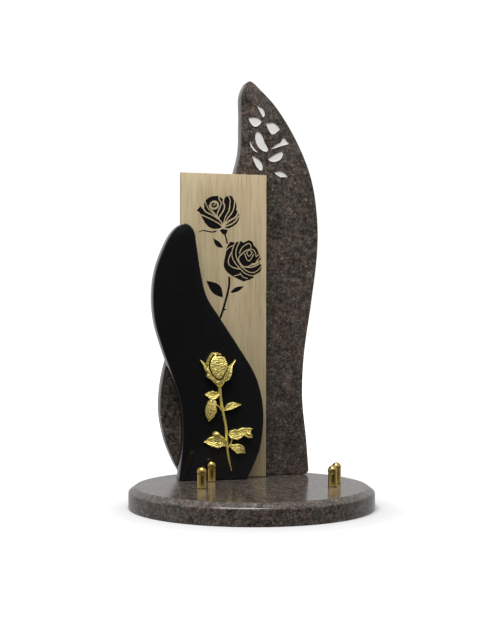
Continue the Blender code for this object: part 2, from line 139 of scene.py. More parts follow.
# Leaves: start across and up, end across and up, bow of either side, lean
BUD_LEAVES = [(-11.3, -7.9, -0.4, -18.2, 1.6, -3.8, 1.2)]
BUD_STEM = [(1.3, -3.6), (2.9, -8.6), (4.2, -13.8)]
OPEN_ROSE_PLACE = (4.4, 251.0)
OPEN_ROSE_OUTLINE = [
    (6.2, 22.6), (10.4, 20.6), (11.8, 17.0), (15.4, 13.0), (17.2, 8.6), (19.4, 3.6),
    (18.2, -1.6), (20.9, -5.2), (18.4, -11.0), (12.0, -14.6), (11.4, -17.6), (6.0, -19.8),
    (0.8, -21.4), (-5.6, -18.6), (-12.0, -15.2), (-17.6, -11.0), (-20.6, -5.2), (-20.2, 1.0),
    (-18.6, 8.0), (-17.6, 14.4), (-13.6, 20.6), (-8.0, 20.0), (-2.4, 21.6), (0.6, 19.6),
]
# Bare lines between the petals: start across and up, end across and up, bow, width
OPEN_ROSE_GAPS = [
    (0.9, 9.6, 0.0, -5.3, -5.2, 1.1),
    (-0.2, -5.3, 9.6, -3.0, -1.6, 1.1),
    (6.4, 19.2, -4.0, 8.2, -2.0, 0.9),
    (6.0, 19.2, 8.3, 14.2, 1.4, 0.8),
    (0.7, 9.8, 9.8, 13.2, 0.8, 1.0),
    (9.2, 13.3, 14.2, 5.4, 1.6, 0.9),
    (-2.6, 22.4, -1.2, -6.2, -5.8, 0.9),
    (-7.4, 21.4, -3.4, -7.6, -6.6, 0.9),
    (-9.6, 17.0, -19.0, 10.2, -1.0, 0.9),
    (-12.4, 9.8, -3.4, -8.4, -8.2, 1.0),
    (-3.8, -6.9, 13.4, -15.6, -2.4, 0.9),
    (-1.3, -6.1, 21.6, -3.4, -7.2, 0.9),
    (0.4, -5.6, 19.4, -1.2, -2.6, 1.2),
    (9.4, -3.2, 17.0, 0.2, -1.0, 2.2),
    (-9.8, -15.4, -2.6, -13.4, -0.3, 0.8),
    (-3.2, -12.2, 5.2, -18.2, -1.5, 0.8),
    (1.8, 8.6, 11.6, 7.8, -7.8, 0.9),
    (3.9, 9.6, 9.9, 9.4, -4.0, 0.9),
    (3.9, 9.7, 9.9, 9.5, 2.0, 0.8),
    (19.4, 6.4, 14.2, -0.4, 0.4, 0.9),
    (20.4, 2.2, 13.8, -2.2, 0.3, 0.9),
    (18.4, 10.0, 14.2, 4.8, 0.6, 0.8),
]
STEM_KNOTS = [(-10.4, 234.6), (-10.5, 225.4), (-14.9, 206.9), (-20.6, 189.0)]
STEM_WIDTH = 2.3
BUD_STEM_WIDTH = 1.7
STEM_LEAVES = [
    (-35.0, 230.4, -17.2, 212.6, 6.6, -4.2, 1.1),
    (-9.0, 217.8, 5.6, 224.6, 2.6, -2.2, 0.9),
]
THORN = [(-17.6, 197.9), (-12.7, 200.6), (-15.2, 200.9), (-16.6, 202.0)]

# Cast rose, in shares of its height from its lower tip
ROSE_HEIGHT = 124.0 * MM
ROSE_TIP_X = -10.6 * MM
ROSE_TIP_Z = 31.8 * MM
ROSE_STEP = 0.5 * MM
ROSE_RIBS = 36
# Dark line round the heart, its cut faces painted near-black as painted shade: width, height of its
# floor, and how far its cutter stands out
HEART_GAP = 1.4 * MM
HEART_LINE_FLOOR = 1.5 * MM
HEART_LINE_REACH = 4.0 * MM
CASTING_ANGLE = math.radians(50)
# Each blade: kind, then stations of across, up, width and thickness
ROSE_BLADES = {
    "stem": ("stem", [
        (-0.008, 0.000, 0.009, 0.008), (-0.030, 0.086, 0.017, 0.020),
        (-0.047, 0.195, 0.021, 0.024), (-0.051, 0.275, 0.021, 0.025),
        (-0.059, 0.377, 0.022, 0.026), (-0.083, 0.493, 0.023, 0.027),
        (-0.101, 0.595, 0.024, 0.028), (-0.113, 0.703, 0.028, 0.032),
        (-0.116, 0.750, 0.028, 0.030)]),
    "cup": ("petal", [
        (-0.114, 0.708, 0.030, 0.034), (-0.119, 0.750, 0.086, 0.046),
        (-0.126, 0.786, 0.144, 0.052), (-0.133, 0.816, 0.176, 0.054),
        (-0.135, 0.850, 0.182, 0.052), (-0.136, 0.893, 0.172, 0.046),
        (-0.135, 0.935, 0.130, 0.036), (-0.138, 0.988, 0.060, 0.026)]),
    "heart": ("heart", [
        (-0.115, 0.780, 0.026, 0.054), (-0.120, 0.800, 0.068, 0.058),
        (-0.126, 0.836, 0.118, 0.060), (-0.128, 0.886, 0.150, 0.061),
        (-0.128, 0.920, 0.138, 0.060), (-0.126, 0.945, 0.114, 0.058),
        (-0.123, 0.967, 0.086, 0.054)]),
    "upper petal": ("petal", [
        (-0.228, 0.902, 0.010, 0.036), (-0.209, 0.924, 0.030, 0.048),
        (-0.191, 0.953, 0.036, 0.052), (-0.178, 0.982, 0.028, 0.050),
        (-0.172, 0.999, 0.008, 0.044)]),
    "top petal": ("petal", [
        (-0.166, 0.992, 0.010, 0.046), (-0.142, 0.985, 0.026, 0.056),
        (-0.114, 0.977, 0.010, 0.046)]),
    "right petal": ("petal", [
        (-0.082, 0.758, 0.018, 0.040), (-0.052, 0.790, 0.046, 0.048),
        (-0.037, 0.830, 0.052, 0.050), (-0.027, 0.864, 0.036, 0.044),
        (-0.012, 0.890, 0.017, 0.034), (0.005, 0.912, 0.011, 0.026),
        (0.022, 0.935, 0.004, 0.014)]),
    "left sepal": ("petal", [
        (-0.220, 0.822, 0.008, 0.026), (-0.232, 0.862, 0.024, 0.030),
        (-0.242, 0.893, 0.024, 0.028), (-0.258, 0.916, 0.013, 0.022),
        (-0.278, 0.937, 0.004, 0.012)]),
    "left fold of the cup": ("stem", [
        (-0.166, 0.754, 0.009, 0.044), (-0.140, 0.728, 0.013, 0.048),
        (-0.116, 0.706, 0.010, 0.040)]),
    "right fold of the cup": ("stem", [
        (-0.076, 0.758, 0.009, 0.044), (-0.092, 0.731, 0.013, 0.048),
        (-0.110, 0.706, 0.010, 0.040)]),
    "lip of the cup": ("stem", [
        (-0.165, 0.760, 0.008, 0.050), (-0.145, 0.750, 0.014, 0.056),
        (-0.118, 0.760, 0.010, 0.054)]),
    "leaf upper left": ("leaf", [
        (-0.110, 0.662, 0.010, 0.018), (-0.146, 0.642, 0.060, 0.026),
        (-0.179, 0.639, 0.072, 0.026), (-0.210, 0.644, 0.044, 0.022),
        (-0.238, 0.647, 0.006, 0.012)]),
    "leaf hanging": ("leaf", [
        (-0.166, 0.612, 0.016, 0.018), (-0.174, 0.592, 0.062, 0.028),
        (-0.186, 0.532, 0.090, 0.034), (-0.195, 0.473, 0.074, 0.028),
        (-0.206, 0.418, 0.006, 0.012)]),
    "stalk hanging": ("stem", [
        (-0.086, 0.490, 0.012, 0.018), (-0.116, 0.538, 0.012, 0.018),
        (-0.158, 0.574, 0.012, 0.020)]),
    "leaf right": ("leaf", [
        (-0.076, 0.512, 0.010, 0.018), (-0.031, 0.541, 0.054, 0.026),
        (0.006, 0.553, 0.050, 0.026), (0.043, 0.556, 0.026, 0.020),
        (0.072, 0.556, 0.005, 0.012)]),
    "leaf lower left": ("leaf", [
        (-0.044, 0.214, 0.016, 0.022), (-0.085, 0.240, 0.078, 0.034),
        (-0.125, 0.248, 0.112, 0.038), (-0.165, 0.251, 0.098, 0.034),
        (-0.205, 0.250, 0.058, 0.028), (-0.246, 0.248, 0.006, 0.014)]),
    "fold of the lower left leaf": ("fold", [
        (-0.172, 0.306, 0.010, 0.036), (-0.158, 0.313, 0.034, 0.054),
        (-0.136, 0.312, 0.040, 0.060), (-0.110, 0.300, 0.012, 0.036)]),
    "leaf curled": ("leaf", [
        (-0.037, 0.309, 0.014, 0.020), (-0.022, 0.309, 0.058, 0.028),
        (0.014, 0.306, 0.082, 0.034), (0.048, 0.311, 0.078, 0.034),
        (0.083, 0.328, 0.062, 0.034), (0.112, 0.325, 0.068, 0.036),
        (0.140, 0.317, 0.084, 0.036), (0.154, 0.316, 0.070, 0.030)]),
    "upper tip of the curled leaf": ("leaf", [
        (0.122, 0.344, 0.022, 0.030), (0.150, 0.349, 0.019, 0.032),
        (0.172, 0.352, 0.004, 0.020)]),
    "lower tip of the curled leaf": ("leaf", [
        (0.122, 0.293, 0.030, 0.028), (0.150, 0.291, 0.034, 0.032),
        (0.168, 0.290, 0.026, 0.022)]),
    "fold of the curled leaf": ("fold", [
        (0.112, 0.322, 0.008, 0.036), (0.140, 0.310, 0.024, 0.056),
        (0.164, 0.300, 0.008, 0.034)]),
    "stalk curled": ("stem", [
        (-0.042, 0.196, 0.012, 0.018), (-0.019, 0.224, 0.012, 0.018),
        (0.000, 0.290, 0.012, 0.020)]),
    "leaf lower right": ("leaf", [
        (-0.030, 0.212, 0.012, 0.018), (0.005, 0.202, 0.048, 0.028),
        (0.038, 0.192, 0.080, 0.034), (0.074, 0.175, 0.068, 0.030),
        (0.108, 0.146, 0.006, 0.014)]),
}
# How high a blade's edge stands, how flat its crown is, and how deep its middle is dished
EDGE_SHARE = {"stem": 0.30, "fold": 0.35, "petal": 0.62, "heart": 0.80, "leaf": 0.60}
CROWN_POWER = {"stem": 1.0, "fold": 0.8, "petal": 0.4, "heart": 0.5, "leaf": 0.25}
DISH_SHARE = {"stem": 0.0, "fold": 0.0, "petal": 0.18, "heart": 0.0, "leaf": 0.20}

# Share of their width by which the edges of leaves and petals wander, and over what length
EDGE_WANDER = 0.22
WANDER_LENGTH = 2.6 * MM
UNEVEN_KINDS = ("leaf", "petal")

# Cast detail of the rose: heights in millimetres, less on blades narrower than the full width
FULL_RELIEF_WIDTH = 4.0 * MM
RIM_HEIGHT = 0.22
VEIN_DEPTH = 0.45
SIDE_VEIN_HEIGHT = 0.32
SIDE_VEINS = 5.5
SIDE_VEIN_SLANT = 2.8
RIPPLE_HEIGHT = 0.23
# Hammered skin: height in millimetres, and length of its dents
LEAF_SKIN = (0.50, 1.1 * MM)
HEART_SKIN = (0.30, (2.4 * MM, 1.3 * MM))
PETAL_SKIN = (0.30, 1.7 * MM)
STEM_SKIN = (0.12, 3.0 * MM)

# Overhead soft box
LAMP_PLACE = Vector((-0.32, -0.56, 1.80))
LAMP_AIM = Vector((0.0, 0.02, 0.20))
LAMP_SIZE = (1.0, 0.7)
LAMP_POWER = 37.0

# Floor: its half side, and how strongly it glows at distances from just in front of the middle
FLOOR_REACH = 15.0
FLOOR_MIDDLE_SHIFT = (0.0, 0.02, 0.0)
FLOOR_GLOW = [(0.10, 0.04), (0.135, 0.08), (0.16, 0.20), (0.22, 0.36), (1.0, 0.75)]
BACKGROUND_LEVEL = 1.05

# Plain colours and the settings of a node that multiplies two colours
WHITE = (1.0, 1.0, 1.0, 1.0)
BLACK = (0.0, 0.0, 0.0, 1.0)
MULTIPLY = {"data_type": "RGBA", "blend_type": "MULTIPLY", 0: 1.0}

# Camera
CAMERA_PLACE = (-0.31876, -1.38274, 0.21705)
CAMERA_TURN = -0.218
CAMERA_TILT = -0.019
CAMERA_ROLL = 0.002
CAMERA_LENS = 78.69


def linear(code):
    """An sRGB hex colour as linear red, green, blue and alpha."""
    shares = [int(code[place:place + 2], 16) / 255 for place in (1, 3, 5)]
    return [share / 12.92 if share <= 0.04045 else ((share + 0.055) / 1.055) ** 2.4
            for share in shares] + [1.0]


def add_node(tree, kind, settings=None, links=None):
    """Add a node, set its options, sockets and ramp stops, and join its inputs to other outputs."""
    node = tree.nodes.new(kind)
    for name, value in (settings or {}).items():
        if name == "stops":
            ramp = node.color_ramp
            while len(ramp.elements) < len(value):
                ramp.elements.new(0.5)
            for element, (place, colour) in zip(ramp.elements, value):
                element.position = place
                element.color = colour
        elif isinstance(name, str) and hasattr(node, name):
            setattr(node, name, value)
        else:
            node.inputs[name].default_value = value
    for name, source in (links or {}).items():
        tree.links.new(source, node.inputs[name])
    return node


def new_material(name, **sockets):
    """A material with one Principled shader and its plain values."""
    material = bpy.data.materials.new(name)
    material.use_nodes = True
    shader = material.node_tree.nodes["Principled BSDF"]
    for socket, value in sockets.items():
        shader.inputs[socket.replace("_", " ").title().replace("Ior", "IOR")].default_value = value
    return material, material.node_tree, shader


def brown_granite():
    """Brown granite, sawn, ground and polished.

    Grains of 1 to 2 mm: brown feldspar that turns reddish or greenish grey from place to
    place, near-black mica and a few bright specks, under a clear polish.
    """
    material, tree, shader = new_material("polished brown granite", roughness=0.18)
    place = add_node(tree, "ShaderNodeTexCoord").outputs["Object"]
    bend = add_node(tree, "ShaderNodeTexNoise", {"Scale": 1 / (2.5 * MM), "Detail": 2.0},
                    {"Vector": place})
    shift = add_node(tree, "ShaderNodeVectorMath", {"operation": "MULTIPLY_ADD",
                                                    1: (0.9 * MM,) * 3},
                     {0: bend.outputs["Color"], 2: place})
    grain = add_node(tree, "ShaderNodeTexVoronoi", {"Scale": 1 / (1.9 * MM), "Randomness": 1.0},
                     {"Vector": shift.outputs["Vector"]})
    tone = add_node(tree, "ShaderNodeSeparateColor", links={"Color": grain.outputs["Color"]})
    fine = add_node(tree, "ShaderNodeTexNoise", {"Scale": 1 / (1.1 * MM), "Detail": 2.0},
                    {"Vector": place})
    cloud = add_node(tree, "ShaderNodeTexNoise", {"Scale": 1 / (7.0 * MM), "Detail": 4.0,
                                                  "Roughness": 0.65},
                     {"Vector": shift.outputs["Vector"]})
    speckle = add_node(tree, "ShaderNodeMix", {"data_type": "FLOAT", 0: 0.6},
                       {2: tone.outputs["Red"], 3: fine.outputs["Fac"]})
    mottle = add_node(tree, "ShaderNodeMix", {"data_type": "FLOAT", 0: 0.45},
                      {2: speckle.outputs[0], 3: cloud.outputs["Fac"]})
    minerals = add_node(tree, "ShaderNodeValToRGB", {"stops": [
        (0.32, linear("#26231f")), (0.40, linear("#3d3935")), (0.48, linear("#524d49")),
        (0.56, linear("#645e59")), (0.64, linear("#7a736e")), (0.74, linear("#a09992"))]},
        {"Fac": mottle.outputs[0]})
    patches = add_node(tree, "ShaderNodeTexNoise", {"Scale": 1 / (13.0 * MM), "Detail": 3.0,
                                                    "Roughness": 0.6}, {"Vector": place})
    tint = add_node(tree, "ShaderNodeValToRGB", {"stops": [
        (0.38, linear("#cfcfc9")), (0.50, linear("#dbd3cd")), (0.64, linear("#e8d3cd"))]},
        {"Fac": patches.outputs["Fac"]})
    tinted = add_node(tree, "ShaderNodeMix", MULTIPLY,
                      {6: minerals.outputs["Color"], 7: tint.outputs["Color"]})
    quartz = add_node(tree, "ShaderNodeTexVoronoi", {"Scale": 1 / (11.0 * MM)}, {"Vector": place})
    spark = add_node(tree, "ShaderNodeValToRGB", {"stops": [
        (0.05, WHITE), (0.07, BLACK)]}, {"Fac": quartz.outputs["Distance"]})
    stone = add_node(tree, "ShaderNodeMix", {"data_type": "RGBA", 7: linear("#b0aaa0")},
                     {0: spark.outputs["Color"], 6: tinted.outputs[2]})
    tree.links.new(stone.outputs[2], shader.inputs["Base Color"])
    return material


def black_granite():
    """Black granite, polished to a mirror: almost no grain shows, only faint grey flecks."""
    material, tree, shader = new_material("polished black granite", roughness=0.10,
                                          specular_ior_level=0.3)
    place = add_node(tree, "ShaderNodeTexCoord").outputs["Object"]
    grain = add_node(tree, "ShaderNodeTexVoronoi", {"Scale": 1 / (1.1 * MM)}, {"Vector": place})
    tone = add_node(tree, "ShaderNodeSeparateColor", links={"Color": grain.outputs["Color"]})
    flecks = add_node(tree, "ShaderNodeValToRGB", {"stops": [
        (0.0, linear("#121213")), (0.85, linear("#141415")), (1.0, linear("#19191a"))]},
        {"Fac": tone.outputs["Red"]})
    tree.links.new(flecks.outputs["Color"], shader.inputs["Base Color"])
    return material


def oak():
    """Light oak, planed and oiled matt: straight vertical grain 2 to 6 mm wide with fine pores."""
    material, tree, shader = new_material("planed light oak", roughness=0.55)
    place = add_node(tree, "ShaderNodeTexCoord").outputs["Object"]
    wide = add_node(tree, "ShaderNodeMapping", {"Scale": (1.0, 1.0, 0.04)}, {"Vector": place})
    bands = add_node(tree, "ShaderNodeTexNoise", {"Scale": 1 / (5.5 * MM), "Detail": 4.0,
                                                  "Roughness": 0.6, "Distortion": 0.3},
                     {"Vector": wide.outputs["Vector"]})
    grain = add_node(tree, "ShaderNodeValToRGB", {"stops": [
        (0.25, linear("#b09e82")), (0.45, linear("#baa989")), (0.60, linear("#bfb090")),
        (0.80, linear("#c5b798"))]}, {"Fac": bands.outputs["Fac"]})
    slow = add_node(tree, "ShaderNodeMapping", {"Scale": (1.0, 1.0, 0.15)}, {"Vector": place})
    boards = add_node(tree, "ShaderNodeTexNoise", {"Scale": 1 / (16.0 * MM), "Detail": 2.0},
                      {"Vector": slow.outputs["Vector"]})
    tint = add_node(tree, "ShaderNodeValToRGB", {"stops": [
        (0.38, linear("#fffaf7")), (0.62, linear("#fbfcf2"))]}, {"Fac": boards.outputs["Fac"]})
    planks = add_node(tree, "ShaderNodeMix", MULTIPLY,
                      {6: grain.outputs["Color"], 7: tint.outputs["Color"]})
    fine = add_node(tree, "ShaderNodeMapping", {"Scale": (1.0, 1.0, 0.03)}, {"Vector": place})
    pores = add_node(tree, "ShaderNodeTexNoise", {"Scale": 1 / (0.9 * MM), "Detail": 1.0},
                     {"Vector": fine.outputs["Vector"]})
    dark = add_node(tree, "ShaderNodeValToRGB", {"stops": [
        (0.26, linear("#e0d4c4")), (0.46, WHITE)]}, {"Fac": pores.outputs["Fac"]})
    wood = add_node(tree, "ShaderNodeMix", MULTIPLY,
                    {6: planks.outputs[2], 7: dark.outputs["Color"]})
    tree.links.new(wood.outputs[2], shader.inputs["Base Color"])
    return material


def gilding():
    """Cast zinc, gilded: a satin gold, uneven like the cast skin, with painted shade that darkens
    the hollows.
    """
    material, tree, shader = new_material("gilt casting", roughness=0.5, metallic=1.0)
    place = add_node(tree, "ShaderNodeTexCoord").outputs["Object"]
    skin = add_node(tree, "ShaderNodeTexNoise", {"Scale": 1 / (1.2 * MM), "Detail": 2.0},
                    {"Vector": place})
    tint = add_node(tree, "ShaderNodeValToRGB", {"stops": [
        (0.30, linear("#e6d076")), (0.70, linear("#fdf09a"))]}, {"Fac": skin.outputs["Fac"]})
    # Painted shade: where the surface is hollow the gold is darkened, as if shade fell there.
    shape = add_node(tree, "ShaderNodeNewGeometry")
    hollow_shade = add_node(tree, "ShaderNodeValToRGB", {"stops": [
        (0.44, linear("#8e8149")), (0.50, WHITE)]}, {"Fac": shape.outputs["Pointiness"]})
    shaded_gilt = add_node(tree, "ShaderNodeMix", MULTIPLY,
                    {6: tint.outputs["Color"], 7: hollow_shade.outputs["Color"]})
    tree.links.new(shaded_gilt.outputs[2], shader.inputs["Base Color"])
    return material


def brass():
    """Turned and polished brass: bright bands where it mirrors the light, dark between."""
    material, _, _ = new_material("polished brass", roughness=0.18, metallic=1.0,
                                  base_color=linear("#ba9e5a"))
    return material


def white_paint():
    """White stone paint brushed into the sandblasted rose."""
    material, _, _ = new_material("white stone paint", roughness=0.6,
                                  base_color=linear("#dedcda"))
    return material


def black_paint():
    """Matt black paint in the engraved roses of the panel."""
    material, _, _ = new_material("matt black paint", roughness=0.8,
                                  specular_ior_level=0.12, base_color=linear("#0e0c0d"))
    return material


def heart_line_shade():
    """Near-black painted shade on the floor and walls of the deep line round the rose's heart."""
    material, _, _ = new_material("painted shade of the heart line", roughness=0.6, base_color=linear("#0d0a06"))
    return material


def finish_piece(name, bm, materials, slot, nodes, angle=EDGE_ANGLE):
    """Turn a bmesh into a piece that rides on the body and stands for its CAD nodes."""
    mesh = bpy.data.meshes.new(name)
    bm.to_mesh(mesh)
    bm.free()
    piece = bpy.data.objects.new(name, mesh)
    bpy.context.scene.collection.objects.link(piece)
    for material in materials:
        mesh.materials.append(material)
    mesh.shade_smooth()
    mesh.set_sharp_from_angle(angle=angle)
    if slot:
        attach(piece, "root")
        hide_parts(*nodes)
    return piece


def settle(piece, angle=EDGE_ANGLE):
    """Apply the piece's modifiers and mark the sharp edges that they made."""
    graph = bpy.context.evaluated_depsgraph_get()
    mesh = bpy.data.meshes.new_from_object(piece.evaluated_get(graph))
    piece.modifiers.clear()
    piece.data = mesh
    mesh.shade_smooth()
    mesh.set_sharp_from_angle(angle=angle)


def combine(piece, other, operation, angle=EDGE_ANGLE, crossing=False):
    """Join or cut the piece with the other one, whose faces keep their own material.

    With crossing, the piece's own closed parts may run through each other, and grow together.
    """
    change = piece.modifiers.new("change", "BOOLEAN")
    change.operation = operation
    change.solver = "EXACT"
    change.use_self = crossing
    change.material_mode = "TRANSFER"
    change.object = other
    settle(piece, angle)
    bpy.data.objects.remove(other, do_unlink=True)


def cut_out(piece, cutter, angle=EDGE_ANGLE):
    """Cut the cutter's shape out of the piece; the cut faces take the cutter's material."""
    combine(piece, cutter, "DIFFERENCE", angle)


def clear_fins(piece, angle):
    """Remove the pairs of faces that lie back to back where the joined shapes touch."""
    bm = bmesh.new()
    bm.from_mesh(piece.data)
    bmesh.ops.triangulate(bm, faces=bm.faces[:])
    bmesh.ops.remove_doubles(bm, verts=bm.verts[:], dist=SAME_POINT)
    shared = {}
    for face in bm.faces:
        shared.setdefault(frozenset(face.verts), []).append(face)
    pairs = [face for faces in shared.values() if len(faces) > 1 for face in faces]
    bmesh.ops.delete(bm, geom=pairs, context="FACES")
    bm.to_mesh(piece.data)
    bm.free()
    piece.data.shade_smooth()
    piece.data.set_sharp_from_angle(angle=angle)


def spans(knots, corners, closed):
    """Bezier spans through the knots, with a kink at each corner."""
    count = len(knots)
    tangents = []
    for index, knot in enumerate(knots):
        before = knots[index - 1] if closed or index > 0 else knot
        after = knots[(index + 1) % count] if closed or index < count - 1 else knot
        tangents.append((after - before).normalized())
    for index in range(count if closed else count - 1):
        start = knots[index]
        end = knots[(index + 1) % count]
        reach = (end - start).length / 3
        straight = (end - start).normalized()
        leave = straight if corners[index] else tangents[index]
        arrive = straight if corners[(index + 1) % count] else tangents[(index + 1) % count]
        yield start, start + leave * reach, end - arrive * reach, end


def closed_curve(knots, step):
    """Points about a step apart on a smooth closed curve, sharp where the knots turn sharply."""
    count = len(knots)
    corners = []
    for index, knot in enumerate(knots):
        arrive = knot - knots[index - 1]
        leave = knots[(index + 1) % count] - knot
        corners.append(arrive.angle(leave) > CORNER_ANGLE)
    points = []
    for span in spans(knots, corners, True):
        straight = (span[3] - span[0]).length
        pieces = max(2, round(straight / step))
        points += [point.xy for point in interpolate_bezier(*span, pieces + 1)[:-1]]
    return points


def outlines_at(solid, depth):
    """Outlines of a solid's flat faces at that depth, as points (x, z) in order."""
    bm = bmesh.new()
    bm.from_mesh(solid.data)
    bmesh.ops.remove_doubles(bm, verts=bm.verts, dist=WELD_DISTANCE)
    flat = [face for face in bm.faces
            if all(abs(vert.co.y - depth) < FLAT_TOLERANCE for vert in face.verts)]
    merged = bmesh.ops.dissolve_faces(bm, faces=flat, use_verts=False)["region"]
    found = [[loop.vert.co.xz for loop in face.loops] for face in merged]
    bm.free()
    return found


def prism(outlines, front_y, back_y):
    """Closed upright prisms with these outlines between two depths."""
    bm = bmesh.new()
    for outline in outlines:
        face = bm.faces.new([bm.verts.new((point.x, front_y, point.y)) for point in outline])
        swept = bmesh.ops.extrude_face_region(bm, geom=[face], use_keep_orig=True)
        moved = [item for item in swept["geom"] if isinstance(item, bmesh.types.BMVert)]
        bmesh.ops.translate(bm, verts=moved, vec=(0.0, back_y - front_y, 0.0))
    bmesh.ops.recalc_face_normals(bm, faces=bm.faces)
    return bm


def slab(outline, front_y, back_y, arris, rounds=3):
    """A slab with a small rounded arris along its front and back edges."""
    bm = prism([outline], front_y, back_y)
    rims = [edge for edge in bm.edges
            if abs(edge.verts[0].co.y - edge.verts[1].co.y) < FLAT_TOLERANCE]
    bmesh.ops.bevel(bm, geom=rims, offset=arris, segments=rounds, profile=0.5,
                    affect="EDGES", material=-1)
    return bm


def turned(profile, sides, centre_x=0.0, centre_y=0.0):
    """A closed round body from a profile of (radius, height) that starts and ends on the axis."""
    bm = bmesh.new()
    verts = [bm.verts.new((centre_x + radius, centre_y, height)) for radius, height in profile]
    edges = [bm.edges.new(pair) for pair in zip(verts, verts[1:])]
    bmesh.ops.spin(bm, geom=verts + edges, cent=(centre_x, centre_y, 0.0), axis=(0.0, 0.0, 1.0),
                   angle=math.tau, steps=sides, use_merge=True)
    bmesh.ops.remove_doubles(bm, verts=bm.verts, dist=WELD_DISTANCE)
    bmesh.ops.recalc_face_normals(bm, faces=bm.faces)
    return bm


def base_disc(granite):
    """The round base: a straight side, a soft arris and a bevel up to the flat top."""
    low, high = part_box("base_disc")
    radius = (high.x - low.x) / 2
    bevel_z = high.z - BASE_BEVEL_DROP
    slope = Vector((-BASE_BEVEL_WIDTH, BASE_BEVEL_DROP)).normalized()
    start = Vector((radius, bevel_z - BASE_ARRIS))
    end = Vector((radius, bevel_z)) + slope * BASE_ARRIS
    arris = interpolate_bezier(start, start + Vector((0, BASE_ARRIS * 0.6)),
                               end - slope * BASE_ARRIS * 0.6, end, 6)
    profile = [(0.0, low.z), (radius - BASE_ARRIS / 2, low.z), (radius, low.z + BASE_ARRIS / 2)]
    profile += [(point.x, point.y) for point in arris]
    profile += [(radius - BASE_BEVEL_WIDTH, high.z), (0.0, high.z)]
    finish_piece("round_base", turned(profile, BASE_SIDES), [granite],
                 "brown_granite", ["base_disc"])


def tall_slab(solid, granite, paint):
    """The tall slab, with the pockets of its rose cut down to the paint."""
    low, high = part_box("tall_slab")
    outline = closed_curve(outlines_at(solid, high.y)[0], OUTLINE_STEP)
    piece = finish_piece("curved_granite_slab", slab(outline, low.y, high.y, SLAB_ARRIS),
                         [granite], "brown_granite", ["tall_slab"])
    floor_y = low.y + pocket_depth(solid, low.y)
    petals = [closed_curve(petal, POCKET_STEP) for petal in outlines_at(solid, floor_y)]
    depth = (floor_y - low.y) * POCKET_PAINT_SHARE
    cutter = finish_piece("pocket_cutter", prism(petals, low.y - depth, low.y + depth),
                          [paint], None, [])
    cut_out(piece, cutter)


def pocket_depth(solid, front_y):
    """How deep the pockets in the front of a solid are."""
    depths = {round(vert.co.y - front_y, 5) for vert in solid.data.vertices}
    return sorted(depth for depth in depths if depth > SLAB_ARRIS * 1.1)[0]


def bowed_shape(start, end, bow_first, bow_second, lean=1.0, steps=12):
    """A closed outline of two bowed sides between two tips, such as a leaf or a crescent."""
    run = end - start
    side = Vector((-run.y, run.x)).normalized()
    shape = []
    for index in range(steps):
        share = index / steps
        shape.append(start + run * share + side * bow_first * math.sin(math.pi * share ** lean))
    for index in range(steps):
        share = 1 - index / steps
        shape.append(start + run * share + side * bow_second * math.sin(math.pi * share ** lean))
    return shape


def bowed_line(start, end, bow, width, steps=14):
    """The outline of a bowed stroke of even width between two points."""
    run = end - start
    side = Vector((-run.y, run.x)).normalized()
    return ribbon([start + run * index / steps + side * bow * math.sin(math.pi * index / steps)
                   for index in range(steps + 1)], width)


def bowed_rows(rows, place=(0.0, 0.0)):
    """Bowed shapes from rows of tips, bows and lean, set at a place on the panel."""
    centre = Vector(place)
    return [bowed_shape(centre + Vector(row[0:2]), centre + Vector(row[2:4]), *row[4:])
            for row in rows]


def ribbon(line, width):
    """The outline of a stroke of even width along a line."""
    left = []
    right = []
    for index, point in enumerate(line):
        run = (line[min(index + 1, len(line) - 1)] - line[max(index - 1, 0)]).normalized()
        side = Vector((-run.y, run.x)) * width / 2
        left.append(point + side)
        right.append(point - side)
    return left + right[::-1]


def stem_shape(knots, width, place=(0.0, 0.0)):
    """A stem of even width on a smooth line through its knots."""
    knots = [Vector(knot) + Vector(place) for knot in knots]
    line = []
    for span in spans(knots, [False] * len(knots), False):
        line += [point.xy for point in interpolate_bezier(*span, 6)[:-1]]
    return ribbon(line + [knots[-1]], width)


def placed_curve(knots, place):
    """A smooth closed curve through knots given in millimetres from a place on the panel."""
    return closed_curve([Vector(place) + Vector(knot) for knot in knots], ROSE_CURVE_STEP)


def panel_roses():
    """The panel's painted shapes in millimetres, in groups: what is cut, and its bare lines."""
    bud = placed_curve(BUD_OUTLINE, BUD_FOOT)
    bud_gaps = [stem_shape(knots, width, BUD_FOOT) for width, knots in BUD_GAPS]
    rose = Vector(OPEN_ROSE_PLACE)
    rim = placed_curve(OPEN_ROSE_OUTLINE, OPEN_ROSE_PLACE)
    gaps = [bowed_line(rose + Vector(row[0:2]), rose + Vector(row[2:4]), row[4], row[5])
            for row in OPEN_ROSE_GAPS]
    return [
        ([bud], bud_gaps),
        ([placed_curve(BUD_SEPAL, BUD_FOOT)], []),
        ([placed_curve(BUD_CALYX, BUD_FOOT)], []),
        (bowed_rows(BUD_LEAVES, BUD_FOOT) + bowed_rows(STEM_LEAVES), []),
        ([stem_shape(STEM_KNOTS, STEM_WIDTH), stem_shape(BUD_STEM, BUD_STEM_WIDTH, BUD_FOOT)], []),
        ([[Vector(knot) for knot in THORN]], []),
        ([rim], gaps),
    ]


def oak_panel(solid, wood, paint):
    """The oak panel, with its roses engraved and painted."""
    low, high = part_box("oak_panel")
    outline = outlines_at(solid, high.y)[0]
    piece = finish_piece("engraved_oak_panel", slab(outline, low.y, high.y, PANEL_ARRIS, 2),
                         [wood], "oak", ["oak_panel"])
    for shapes, gaps in panel_roses():
        cutter = engraver(shapes, low.y, ENGRAVING_DEPTH, paint)
        for gap in gaps:
            cut_out(cutter, engraver([gap], low.y, 2 * ENGRAVING_DEPTH, paint))
        cut_out(piece, cutter)


def engraver(shapes, face_y, depth, paint):
    """A cutter for shapes given in millimetres, centred on the face of the panel."""
    outlines = [[point * MM for point in shape] for shape in shapes]
    return finish_piece("engraver", prism(outlines, face_y - depth, face_y + depth),
                        [paint], None, [])


